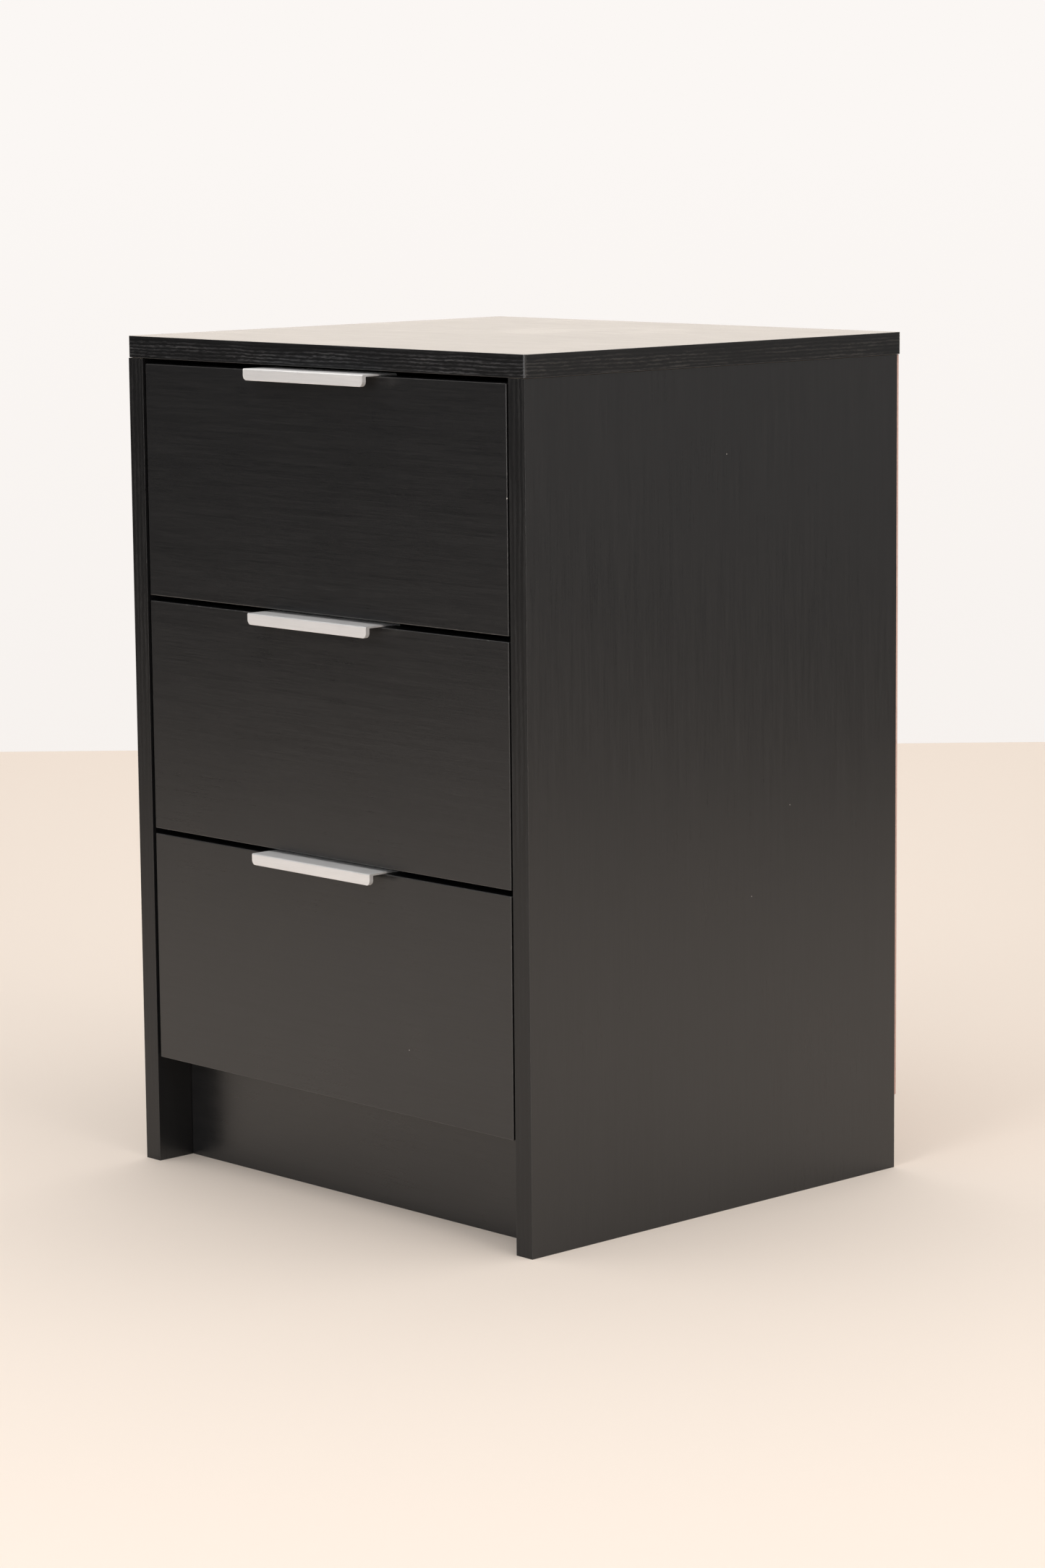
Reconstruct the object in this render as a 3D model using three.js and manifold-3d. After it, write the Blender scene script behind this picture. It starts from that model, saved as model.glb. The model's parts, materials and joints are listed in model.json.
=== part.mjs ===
// A bedside cabinet: a melamine-faced carcass that holds three drawers on roller runners.
// Millimetres, +Z up. The drawers open towards -Y. The origin is on the floor, under the
// middle of the whole piece, its handles included.
import * as THREE from "three";
import { mergeVertices } from "three/addons/utils/BufferGeometryUtils.js";
import Module from "manifold-3d";

// Carcass
const cabinetWidth = 400; // over the outer faces of the side panels
const cabinetHeight = 585; // from the floor to the upper face of the top
const sideDepth = 351; // front edge to back edge of a side panel
const boardThickness = 15;
const topOverhang = 0.8; // of the top past each side panel
const topRearOverhang = 0.4; // of the top past the back panel
const topCornerRadius = 2.5; // of the top's four corners, seen from above
const backThickness = 2.5;
const backInset = 1; // of the back panel's edges in from the side panels' outer faces
const backBottom = 52; // height of the back panel's lower edge
const plinthSetback = 30; // of the plinth behind the carcass front
const plinthRise = 5; // of the plinth above the bottom panel

// Drawer fronts, set inside the carcass
const drawerCount = 3;
const frontThickness = 15;
const lowestFrontBottom = 76; // height of the lowest front's lower edge
const frontSideGap = 2.5; // between a front and a side panel
const frontGap = 3.8; // above each front
const frontRecess = 0.7; // of a closed front behind the carcass front

// Drawer boxes
const drawerBoardThickness = 12;
const drawerBaseThickness = 3;
const drawerBaseLift = 8; // of the base's groove above the box's lower edge
const grooveDepth = 6;
const drawerBoxLift = 14; // of a box's lower edge above its front's lower edge
const drawerHeadroom = 37; // from a box's upper edge to its front's upper edge
const drawerRearSpace = 35; // between a closed drawer box and the back panel

// Roller runners: one rail on the side panel, one under the drawer box, a roller on each
const runnerSpace = 13; // between a side panel and a drawer box
const runnerSteel = 1.2;
const railFrontSpace = 2; // between a drawer front and the fixed rail behind it
const runnerOverlap = 75; // of the two rails when the drawer is fully open
const rollerRadius = 8;
const rollerInset = 11; // of a roller's axle from the end of its rail
const axleRadius = 2.5;
const axleHeadRadius = 4;
const axleHeadThickness = 1.2;
const stopHeight = 3; // of the stop on the fixed rail's floor

// Handles: a folded aluminium strip over the upper edge of each front
const handleLength = 121;
const handleThickness = 1.2;
const handleReach = 13.9; // of the lip's outer face in front of the drawer front
const lipHeight = 7.8; // from the strip's upper face to the lip's lower edge
const lipThickness = 3.2;
const lipCornerRadius = 3.5;
const handleFlangeHeight = 20; // of the part folded down behind the front
const handleScrewSpacing = 80;
const screwShankRadius = 1.5;
const screwHeadRadius = 3.2;
const screwHeadThickness = 1.8;
const screwLength = 11; // of the shank in the drawer front

// Cam fittings that hold the top on the side panels
const camRadius = 7.5;
const camSkin = 2.5; // of side panel left behind a cam
const camDrop = 34; // of a cam's centre below the side panel's upper edge
const camInset = 50; // from the side panel's front and back edges
const camBoltRadius = 3;
const camBoltGrip = 10; // of the bolt in the top

// Clearances
const seat = 0.3; // between pieces that are fixed against each other
const running = 0.3; // between a roller and what rolls on it
const slack = 0.75; // between a fixed rail and a sliding one, side by side
const roundSides = 24; // flats round a roller or a cam

// Sizes that follow from the ones above
const innerHalf = cabinetWidth / 2 - boardThickness;
const topUnderside = cabinetHeight - boardThickness;
const backFront = sideDepth + seat;
const backRear = backFront + backThickness;
const topRear = backRear + topRearOverhang;
const bottomUpperFace = backBottom + boardThickness;
const frontPitch = (topUnderside - lowestFrontBottom) / drawerCount;
const frontHeight = frontPitch - frontGap;
const frontHalf = innerHalf - frontSideGap;
const frontBack = frontRecess + frontThickness;
const boxFront = frontBack + seat;
const boxRear = backFront - drawerRearSpace;
const boxHalf = innerHalf - runnerSpace;
const boxHeight = frontHeight - drawerBoxLift - drawerHeadroom;
const baseHalf = boxHalf - drawerBoardThickness + grooveDepth - seat;
const railRear = boxRear + seat + runnerSteel;
const drawerTravel = boxRear - boxFront - runnerOverlap;
const rollerWidth = runnerSpace - 2 * (seat + runnerSteel + slack) - running - axleHeadThickness;
const handleFront = frontRecess - handleReach;
const frameShift = -(handleFront + topRear) / 2;

// Melamine boards, foil, hardboard and metals
const finishes = {
  blackBrownBoard: { color: 0x2b2624, roughness: 0.35, metalness: 0 },
  hardboard: { color: 0x6b4a38, roughness: 0.8, metalness: 0 },
  drawerFoil: { color: 0x34302d, roughness: 0.5, metalness: 0 },
  runnerPaint: { color: 0xe6e3dc, roughness: 0.4, metalness: 0.1 },
  nylon: { color: 0xf2f0ea, roughness: 0.35, metalness: 0 },
  satinAluminium: { color: 0xc9c8c6, roughness: 0.35, metalness: 1 },
  zinc: { color: 0xa9abac, roughness: 0.4, metalness: 1 },
};

const wasm = await Module();
wasm.setup();

// A closed geometry as a solid that can be joined and cut.
function solidOf(geometry) {
  const bare = new THREE.BufferGeometry();
  const source = geometry.index ? geometry.toNonIndexed() : geometry;
  bare.setAttribute("position", source.getAttribute("position"));
  const merged = mergeVertices(bare, 1e-4);
  return new wasm.Manifold(
    new wasm.Mesh({
      numProp: 3,
      vertProperties: merged.attributes.position.array,
      triVerts: new Uint32Array(merged.index.array),
    }),
  );
}

function geometryOf(solid) {
  const mesh = solid.getMesh();
  const geometry = new THREE.BufferGeometry();
  geometry.setAttribute("position", new THREE.BufferAttribute(mesh.vertProperties, 3));
  geometry.setIndex(new THREE.BufferAttribute(mesh.triVerts, 1));
  const flat = geometry.toNonIndexed();
  flat.computeVertexNormals();
  return flat;
}

// Joins the first shape to the added ones, then cuts the others away.
function shaped(first, added, cut) {
  let solid = solidOf(first);
  for (const geometry of added) solid = solid.add(solidOf(geometry));
  for (const geometry of cut) solid = solid.subtract(solidOf(geometry));
  return geometryOf(solid);
}

// A block between two corners.
function block(low, high) {
  const size = high.map((value, axis) => value - low[axis]);
  const middle = high.map((value, axis) => (value + low[axis]) / 2);
  return new THREE.BoxGeometry(...size).translate(...middle);
}

// The same block on the left (side -1) or right (side 1), from distances to the middle plane.
function sideBlock(side, near, far, lowY, highY, lowZ, highZ) {
  const [lowX, highX] = side > 0 ? [near, far] : [-far, -near];
  return block([lowX, lowY, lowZ], [highX, highY, highZ]);
}

// A cylinder along x, y or z between two places on that axis.
function rod(axis, radius, from, to, centre, sides = roundSides) {
  const length = to - from;
  const cylinder = new THREE.CylinderGeometry(radius, radius, length, sides);
  if (axis === "x") cylinder.rotateZ(-Math.PI / 2).translate(from + length / 2, ...centre);
  if (axis === "y") cylinder.translate(centre[0], from + length / 2, centre[1]);
  if (axis === "z") cylinder.rotateX(Math.PI / 2).translate(...centre, from + length / 2);
  return cylinder;
}

// An outline in x and z, pushed through from the nearer y to the further one.
function extrudeAlongY(outline, nearY, farY) {
  const settings = { depth: farY - nearY, bevelEnabled: false, curveSegments: 6 };
  return new THREE.ExtrudeGeometry(outline, settings).rotateX(Math.PI / 2).translate(0, farY, 0);
}

function outlineOf(corners) {
  return new THREE.Shape(corners.map(([x, y]) => new THREE.Vector2(x, y)));
}

// A rail's section on one side of the cabinet, given as distances in from the side panel.
function railSection(side, corners) {
  const placed = corners.map(([inward, z]) => [side * (innerHalf - inward), z]);
  return outlineOf(side > 0 ? placed : placed.reverse());
}

const cabinet = new THREE.Group();

function addPiece(name, finish, geometry) {
  const mesh = new THREE.Mesh(geometry, new THREE.MeshStandardMaterial(finishes[finish]));
  mesh.name = name;
  cabinet.add(mesh);
}

const sides = [
  { word: "left", side: -1 },
  { word: "right", side: 1 },
];

// The four places where a cam fitting holds the top.
const camPlaces = sides.flatMap(({ word, side }) => [
  { name: `cam_fitting_${word}_front`, side, y: camInset },
  { name: `cam_fitting_${word}_rear`, side, y: sideDepth - camInset },
]);

// A cam in the inner face of a side panel and its bolt up into the top, grown by a clearance.
function camFitting({ side, y }, clearance) {
  const camHeight = topUnderside - seat - camDrop;
  const near = innerHalf - clearance;
  const far = innerHalf + boardThickness - camSkin - seat + clearance;
  const [from, to] = side > 0 ? [near, far] : [-far, -near];
  const boltX = side * (innerHalf + boardThickness / 2);
  const boltTop = topUnderside + camBoltGrip + clearance;
  return {
    cam: rod("x", camRadius + clearance, from, to, [y, camHeight]),
    bolt: rod("z", camBoltRadius + clearance, camHeight, boltTop, [boltX, y], roundSides / 2),
  };
}

function addCarcass() {
  const pockets = camPlaces.map((place) => camFitting(place, seat));

  const cornerX = cabinetWidth / 2 + topOverhang - topCornerRadius;
  const rearCornerY = topRear - topCornerRadius;
  const plan = new THREE.Shape();
  plan.absarc(cornerX, rearCornerY, topCornerRadius, 0, 0.5 * Math.PI);
  plan.absarc(-cornerX, rearCornerY, topCornerRadius, 0.5 * Math.PI, Math.PI);
  plan.absarc(-cornerX, topCornerRadius, topCornerRadius, Math.PI, 1.5 * Math.PI);
  plan.absarc(cornerX, topCornerRadius, topCornerRadius, 1.5 * Math.PI, 2 * Math.PI);
  const topSettings = { depth: boardThickness, bevelEnabled: false, curveSegments: 6 };
  const slab = new THREE.ExtrudeGeometry(plan, topSettings).translate(0, 0, topUnderside);
  const boltHoles = pockets.map((pocket) => pocket.bolt);
  addPiece("top_panel", "blackBrownBoard", shaped(slab, [], boltHoles));

  for (const { word, side } of sides) {
    const near = innerHalf;
    const panel = sideBlock(side, near, near + boardThickness, 0, sideDepth, 0, topUnderside - seat);
    const mine = pockets.filter((pocket, index) => camPlaces[index].side === side);
    const cuts = mine.flatMap((pocket) => [pocket.cam, pocket.bolt]);
    addPiece(`side_panel_${word}`, "blackBrownBoard", shaped(panel, [], cuts));
  }
  for (const place of camPlaces) {
    const { cam, bolt } = camFitting(place, 0);
    addPiece(place.name, "zinc", shaped(cam, [bolt], []));
  }

  const between = innerHalf - seat;
  const plinthBack = plinthSetback + boardThickness;
  const plinthTop = bottomUpperFace + plinthRise;
  const plinth = block([-between, plinthSetback, 0], [between, plinthBack, plinthTop]);
  addPiece("plinth_board", "blackBrownBoard", plinth);
  const bottomLow = [-between, plinthBack + seat, backBottom];
  addPiece("bottom_panel", "blackBrownBoard", block(bottomLow, [between, sideDepth, bottomUpperFace]));

  const backHalf = cabinetWidth / 2 - backInset;
  const backLow = [-backHalf, backFront, backBottom];
  const backHigh = [backHalf, backRear, topUnderside - seat];
  addPiece("back_panel", "hardboard", block(backLow, backHigh));
}

// Heights of one runner pair, from the lower edge of its drawer box.
function runnerHeights(boxBottom) {
  const floor = boxBottom;
  const axle = floor + running + rollerRadius;
  const flangeUnder = axle + rollerRadius + running;
  const flangeTop = flangeUnder + runnerSteel;
  return { floor, axle, flangeUnder, flangeTop, roof: flangeTop + running };
}

// Distances in from a side panel to the faces of the two rails and the rollers.
const fixedWebInner = seat + runnerSteel;
const slidingWebInner = runnerSpace - seat;
const slidingWebOuter = slidingWebInner - runnerSteel;
const fixedFlangeEnd = slidingWebOuter - slack;
const slidingFlangeEnd = fixedWebInner + slack;
const fixedRollerOuter = fixedWebInner + slack;
const slidingRollerInner = slidingWebOuter - slack;
const fixedAxleY = frontBack + railFrontSpace + rollerInset;
const slidingAxleY = boxRear - rollerInset;

// A rod along x on one side, between two distances in from the side panel.
function inwardRod(side, radius, nearPanel, nearDrawer, y, z) {
  const ends = [side * (innerHalf - nearPanel), side * (innerHalf - nearDrawer)];
  return rod("x", radius, Math.min(...ends), Math.max(...ends), [y, z]);
}

// The channel on the side panel, with its front axle, its stop and its bent-up rear end.
function fixedRail(side, at) {
  const below = at.floor - runnerSteel;
  const above = at.roof + runnerSteel;
  const section = railSection(side, [
    [seat, below],
    [seat, above],
    [fixedFlangeEnd, above],
    [fixedFlangeEnd, at.roof],
    [fixedWebInner, at.roof],
    [fixedWebInner, at.floor],
    [fixedFlangeEnd, at.floor],
    [fixedFlangeEnd, below],
  ]);
  const channel = extrudeAlongY(section, frontBack + railFrontSpace, railRear);
  const near = innerHalf - fixedFlangeEnd;
  const far = innerHalf - seat;
  const endPlate = sideBlock(side, near, far, railRear - runnerSteel, railRear, below, above);
  const fromAxle = rollerRadius + running - stopHeight;
  const stopReach = Math.sqrt(rollerRadius ** 2 - fromAxle ** 2) + running;
  const stopY = slidingAxleY - drawerTravel - stopReach;
  const stopTop = at.floor + stopHeight;
  const stop = sideBlock(side, near, far, stopY - 2 * runnerSteel, stopY, below, stopTop);
  const headStart = fixedRollerOuter + rollerWidth + running;
  const axle = inwardRod(side, axleRadius, seat, headStart, fixedAxleY, at.axle);
  const headEnd = headStart + axleHeadThickness;
  const head = inwardRod(side, axleHeadRadius, headStart, headEnd, fixedAxleY, at.axle);
  return shaped(channel, [endPlate, stop, axle, head], []);
}

// The rail under a drawer box: a flange under the box side and one out over the fixed roller.
function slidingRail(side, at, boxBottom) {
  const foot = boxBottom - seat;
  const section = railSection(side, [
    [slidingFlangeEnd, at.flangeUnder],
    [slidingFlangeEnd, at.flangeTop],
    [slidingWebInner, at.flangeTop],
    [slidingWebInner, foot],
    [runnerSpace + drawerBoardThickness, foot],
    [runnerSpace + drawerBoardThickness, foot - runnerSteel],
    [slidingWebOuter, foot - runnerSteel],
    [slidingWebOuter, at.flangeUnder],
  ]);
  const strip = extrudeAlongY(section, boxFront, boxRear);
  const headStart = slidingRollerInner - rollerWidth - running;
  const axle = inwardRod(side, axleRadius, headStart, slidingWebInner, slidingAxleY, at.axle);
  const headEnd = headStart - axleHeadThickness;
  const head = inwardRod(side, axleHeadRadius, headEnd, headStart, slidingAxleY, at.axle);
  return shaped(strip, [axle, head], []);
}

// A nylon ring that turns on an axle.
function roller(side, nearPanel, y, z) {
  const nearDrawer = nearPanel + rollerWidth;
  const ring = inwardRod(side, rollerRadius, nearPanel, nearDrawer, y, z);
  const bore = inwardRod(side, axleRadius + running, nearPanel - 1, nearDrawer + 1, y, z);
  return shaped(ring, [], [bore]);
}

function addRunners(drawer, boxBottom) {
  const at = runnerHeights(boxBottom);
  const slidingRollerOuter = slidingRollerInner - rollerWidth;
  for (const { word, side } of sides) {
    const end = `${drawer}_${word}`;
    addPiece(`fixed_rail_${end}`, "runnerPaint", fixedRail(side, at));
    addPiece(`fixed_roller_${end}`, "nylon", roller(side, fixedRollerOuter, fixedAxleY, at.axle));
    addPiece(`sliding_rail_${end}`, "runnerPaint", slidingRail(side, at, boxBottom));
    const slidingRoller = roller(side, slidingRollerOuter, slidingAxleY, at.axle);
    addPiece(`sliding_roller_${end}`, "nylon", slidingRoller);
  }
}

// A screw through the handle's rear flange, into the back of the drawer front.
function handleScrew(x, z, clearance) {
  const headBack = frontBack + 2 * seat + handleThickness;
  const shankTip = frontBack - screwLength - clearance;
  return {
    shank: rod("y", screwShankRadius + clearance, shankTip, headBack + seat, [x, z], roundSides / 2),
    head: rod("y", screwHeadRadius, headBack, headBack + screwHeadThickness, [x, z]),
  };
}

// The strip over the front's upper edge, with a lip in front and a flange behind.
function handle(frontTop, screws) {
  const half = handleLength / 2;
  const under = frontTop + seat;
  const upper = under + handleThickness;
  const flangeFront = frontBack + seat;
  const flangeBack = flangeFront + handleThickness;
  const strip = block([-half, handleFront, under], [half, flangeBack, upper]);
  const flangeBottom = upper - handleFlangeHeight;
  const flange = block([-half, flangeFront, flangeBottom], [half, flangeBack, upper]);
  const lipBottom = upper - lipHeight;
  const round = lipBottom + lipCornerRadius;
  const outline = new THREE.Shape();
  outline.moveTo(half, upper);
  outline.lineTo(-half, upper);
  outline.absarc(lipCornerRadius - half, round, lipCornerRadius, Math.PI, 1.5 * Math.PI);
  outline.absarc(half - lipCornerRadius, round, lipCornerRadius, -Math.PI / 2, 0);
  const lip = extrudeAlongY(outline, handleFront, handleFront + lipThickness);
  return shaped(strip, [flange, lip], screws.map((screw) => screw.shank));
}

function addDrawer(drawer, frontBottom) {
  const frontTop = frontBottom + frontHeight;
  const boxBottom = frontBottom + drawerBoxLift;
  const boxTop = boxBottom + boxHeight;
  const grooveFloor = boxBottom + drawerBaseLift;
  const baseFloor = grooveFloor + seat;
  const baseTop = baseFloor + drawerBaseThickness;
  const grooveRoof = baseTop + seat;

  const screwZ = frontTop - handleFlangeHeight / 2;
  const screwXs = [-handleScrewSpacing / 2, handleScrewSpacing / 2];
  const holes = screwXs.map((x) => handleScrew(x, screwZ, seat));

  const board = block([-frontHalf, frontRecess, frontBottom], [frontHalf, frontBack, frontTop]);
  const grooveLow = [-baseHalf - seat, frontBack - grooveDepth, grooveFloor];
  const groove = block(grooveLow, [baseHalf + seat, frontBack + seat, grooveRoof]);
  const frontCuts = [groove, ...holes.map((hole) => hole.shank)];
  addPiece(`drawer_front_${drawer}`, "blackBrownBoard", shaped(board, [], frontCuts));

  addPiece(`handle_${drawer}`, "satinAluminium", handle(frontTop, holes));
  screwXs.forEach((x, index) => {
    const { shank, head } = handleScrew(x, screwZ, 0);
    const name = `handle_screw_${drawer}_${sides[index].word}`;
    addPiece(name, "zinc", shaped(shank, [head], []));
  });

  const insideHalf = boxHalf - drawerBoardThickness;
  const grooveHalf = insideHalf + grooveDepth;
  for (const { word, side } of sides) {
    const corners = [
      [insideHalf, boxBottom],
      [boxHalf, boxBottom],
      [boxHalf, boxTop],
      [insideHalf, boxTop],
      [insideHalf, grooveRoof],
      [grooveHalf, grooveRoof],
      [grooveHalf, grooveFloor],
      [insideHalf, grooveFloor],
    ].map(([x, z]) => [side * x, z]);
    const section = outlineOf(side > 0 ? corners : corners.reverse());
    addPiece(`drawer_side_${drawer}_${word}`, "drawerFoil", extrudeAlongY(section, boxFront, boxRear));
  }
  const backHalf = insideHalf - seat;
  const backLow = [-backHalf, boxRear - drawerBoardThickness, grooveRoof];
  addPiece(`drawer_back_${drawer}`, "drawerFoil", block(backLow, [backHalf, boxRear, boxTop]));
  const baseLow = [-baseHalf, frontBack - grooveDepth + seat, baseFloor];
  addPiece(`drawer_base_${drawer}`, "hardboard", block(baseLow, [baseHalf, boxRear, baseTop]));

  addRunners(drawer, boxBottom);
}

addCarcass();
const drawerWords = ["bottom", "middle", "top"];
for (let index = 0; index < drawerCount; index += 1) {
  addDrawer(drawerWords[index] ?? `level_${index + 1}`, lowestFrontBottom + index * frontPitch);
}
cabinet.position.y = frameShift;

const group = new THREE.Group();
group.add(cabinet);
export default group;
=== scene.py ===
import json
import math

import bmesh
import bpy
from mathutils import Matrix, Vector


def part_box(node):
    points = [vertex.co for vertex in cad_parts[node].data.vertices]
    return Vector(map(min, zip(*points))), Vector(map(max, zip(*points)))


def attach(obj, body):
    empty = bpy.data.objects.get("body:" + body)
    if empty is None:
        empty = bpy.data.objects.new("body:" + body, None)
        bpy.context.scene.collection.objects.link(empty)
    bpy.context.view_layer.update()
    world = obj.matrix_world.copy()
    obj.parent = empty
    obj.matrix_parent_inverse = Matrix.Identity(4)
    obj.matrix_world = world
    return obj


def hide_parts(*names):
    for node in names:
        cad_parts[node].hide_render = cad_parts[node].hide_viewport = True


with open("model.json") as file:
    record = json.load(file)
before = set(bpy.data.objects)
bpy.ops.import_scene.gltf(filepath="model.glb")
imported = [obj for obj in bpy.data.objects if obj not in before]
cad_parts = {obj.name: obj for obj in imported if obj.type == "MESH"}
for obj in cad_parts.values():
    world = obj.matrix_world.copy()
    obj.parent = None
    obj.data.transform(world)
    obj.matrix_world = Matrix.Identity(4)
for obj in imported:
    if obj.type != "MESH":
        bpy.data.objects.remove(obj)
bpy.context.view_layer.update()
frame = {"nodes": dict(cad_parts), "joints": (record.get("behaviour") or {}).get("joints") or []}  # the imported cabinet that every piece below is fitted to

scene = bpy.context.scene
levels = ["bottom", "middle", "top"]
hands = {"left": -1, "right": 1}
ends = ["front", "rear"]
print("frame loaded:", len(frame["nodes"]), "nodes")


# Shader helpers

def plug(tree, value, socket):
    if isinstance(value, bpy.types.NodeSocket):
        tree.links.new(value, socket)
    else:
        socket.default_value = value


def addNode(tree, kind, inputs=None, **settings):
    node = tree.nodes.new(kind)
    for key, value in settings.items():
        setattr(node, key, value)
    for key, value in (inputs or {}).items():
        plug(tree, value, node.inputs[key])
    return node


def maths(tree, operation, first, second=0.0):
    return addNode(tree, "ShaderNodeMath", {0: first, 1: second}, operation=operation).outputs[0]


def remap(tree, value, fromLow, fromHigh, toLow=0.0, toHigh=1.0):
    inputs = {"Value": value, "From Min": fromLow, "From Max": fromHigh, "To Min": toLow, "To Max": toHigh}
    return addNode(tree, "ShaderNodeMapRange", inputs).outputs["Result"]


def stretch(tree, vector, lengths):
    # a texture space where one unit is the given length in metres along each axis
    shares = [1 / length for length in lengths]
    return addNode(tree, "ShaderNodeVectorMath", {0: vector, 1: shares}, operation="MULTIPLY").outputs[0]


def noise(tree, vector, scale=1.0, detail=2.0, roughness=0.5, distortion=0.0):
    inputs = {
        "Vector": vector, "Scale": scale, "Detail": detail, "Roughness": roughness,
        "Distortion": distortion,
    }
    return addNode(tree, "ShaderNodeTexNoise", inputs).outputs["Fac"]


def mixColour(tree, factor, first, second):
    node = addNode(tree, "ShaderNodeMix", data_type="RGBA")
    plug(tree, factor, node.inputs[0])
    for value, socket in ((first, node.inputs[6]), (second, node.inputs[7])):
        plug(tree, value if isinstance(value, bpy.types.NodeSocket) else (*value, 1.0), socket)
    return node.outputs[2]


def startGroup(name, inputs, outputs):
    tree = bpy.data.node_groups.new(name, "ShaderNodeTree")
    for label, value in inputs.items():
        kind = "NodeSocketVector" if value is None else "NodeSocketFloat"
        socket = tree.interface.new_socket(label, in_out="INPUT", socket_type=kind)
        if value is not None:
            socket.default_value = value
    for label in outputs:
        tree.interface.new_socket(label, in_out="OUTPUT", socket_type="NodeSocketFloat")
    return tree, tree.nodes.new("NodeGroupInput").outputs, tree.nodes.new("NodeGroupOutput").inputs


def place(tree, group, inputs):
    return addNode(tree, "ShaderNodeGroup", inputs, node_tree=group).outputs


def startMaterial(name, **values):
    material = bpy.data.materials.new(name)
    material.use_nodes = True
    tree = material.node_tree
    tree.nodes.clear()
    output = tree.nodes.new("ShaderNodeOutputMaterial")
    shader = tree.nodes.new("ShaderNodeBsdfPrincipled")
    tree.links.new(shader.outputs["BSDF"], output.inputs["Surface"])
    for key, value in values.items():
        shader.inputs[key].default_value = value
    return material, tree, shader.inputs


def surface(tree, shader, tone, satin, height, relief):
    plug(tree, tone, shader["Base Color"])
    plug(tree, satin, shader["Roughness"])
    bump = addNode(tree, "ShaderNodeBump", {"Height": height, "Distance": relief})
    plug(tree, bump.outputs["Normal"], shader["Normal"])


def grainSpace(tree, along, shift=0.0):
    # the piece's own position, turned so that the grain's direction comes first
    axes = addNode(tree, "ShaderNodeTexCoord").outputs["Object"]
    axes = addNode(tree, "ShaderNodeSeparateXYZ", {0: axes}).outputs
    order = {"x": (0, 2, 1), "y": (1, 2, 0), "z": (2, 0, 1)}[along]
    inputs = {0: maths(tree, "ADD", axes[order[0]], shift), 1: axes[order[1]], 2: axes[order[2]]}
    return addNode(tree, "ShaderNodeCombineXYZ", inputs).outputs[0]


# Effects that several finishes share

def buildPrintedGrain():
    # printed and pressed wood figure: long fibres, short pores and slow shade changes
    tree, take, give = startGroup(
        "printedGrain", {"Position": None, "Pore Share": 0.4}, ["Fibres", "Pores", "Figure"],
    )
    fine = noise(tree, stretch(tree, take["Position"], (0.03, 0.0007, 0.0007)), detail=4, roughness=0.7)
    broad = noise(tree, stretch(tree, take["Position"], (0.12, 0.0035, 0.0035)), detail=2, distortion=0.3)
    both = maths(tree, "ADD", maths(tree, "MULTIPLY", fine, 0.7), maths(tree, "MULTIPLY", broad, 0.3))
    plug(tree, remap(tree, both, 0.36, 0.64), give["Fibres"])
    dashes = noise(tree, stretch(tree, take["Position"], (0.005, 0.0004, 0.0004)), detail=1)
    start = maths(tree, "SUBTRACT", 0.8, maths(tree, "MULTIPLY", take["Pore Share"], 0.3))
    pores = addNode(tree, "ShaderNodeMapRange", {"Value": dashes, "From Min": start})
    plug(tree, maths(tree, "ADD", start, 0.08), pores.inputs["From Max"])
    plug(tree, pores.outputs["Result"], give["Pores"])
    slow = noise(tree, stretch(tree, take["Position"], (0.4, 0.03, 0.03)), detail=2, distortion=0.6)
    plug(tree, remap(tree, slow, 0.3, 0.7), give["Figure"])
    return tree


def buildBandGrain():
    # the growth lines of a coarse printed edge band: rippled lines broken into short lens-like streaks
    inputs = {
        "Position": None, "Line Pitch": 0.0024, "Bend": 1.3, "Break": 0.7, "Fade From": 0.58,
        "Fade To": 0.585,
    }
    tree, take, give = startGroup("bandGrain", inputs, ["Lines", "Fibres"])
    drift = noise(tree, stretch(tree, take["Position"], (0.05, 0.009, 0.009)), detail=1)
    drift = maths(tree, "MULTIPLY", maths(tree, "SUBTRACT", drift, 0.5), take["Bend"])
    ripple = noise(tree, stretch(tree, take["Position"], (0.0042, 0.0016, 0.0016)), detail=2, roughness=0.6)
    ripple = maths(tree, "MULTIPLY", maths(tree, "SUBTRACT", ripple, 0.5), 0.8)
    rise = addNode(tree, "ShaderNodeSeparateXYZ", {0: take["Position"]}).outputs[1]
    turns = maths(tree, "DIVIDE", rise, take["Line Pitch"])
    turns = maths(tree, "ADD", turns, maths(tree, "ADD", drift, ripple))
    wave = maths(tree, "SINE", maths(tree, "MULTIPLY", turns, 2 * math.pi))
    lens = noise(tree, stretch(tree, take["Position"], (0.0065, 0.0013, 0.0013)), detail=2, roughness=0.55)
    between = maths(tree, "SUBTRACT", 1.0, remap(tree, lens, 0.4, 0.58))
    streak = maths(tree, "SUBTRACT", 1.0, maths(tree, "MULTIPLY", between, take["Break"]))
    slow = noise(tree, stretch(tree, take["Position"], (0.06, 0.006, 0.006)), detail=1)
    strength = maths(tree, "MULTIPLY", streak, remap(tree, slow, 0.35, 0.6, 0.35, 1.0))
    fade = remap(tree, rise, take["Fade From"], take["Fade To"], 1.0, 0.3)
    strength = maths(tree, "MULTIPLY", strength, fade)
    plug(tree, maths(tree, "MULTIPLY", remap(tree, wave, -0.3, 0.7), strength), give["Lines"])
    fine = noise(tree, stretch(tree, take["Position"], (0.007, 0.0003, 0.0003)), detail=3, roughness=0.65)
    plug(tree, remap(tree, fine, 0.33, 0.67), give["Fibres"])
    return tree


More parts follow.
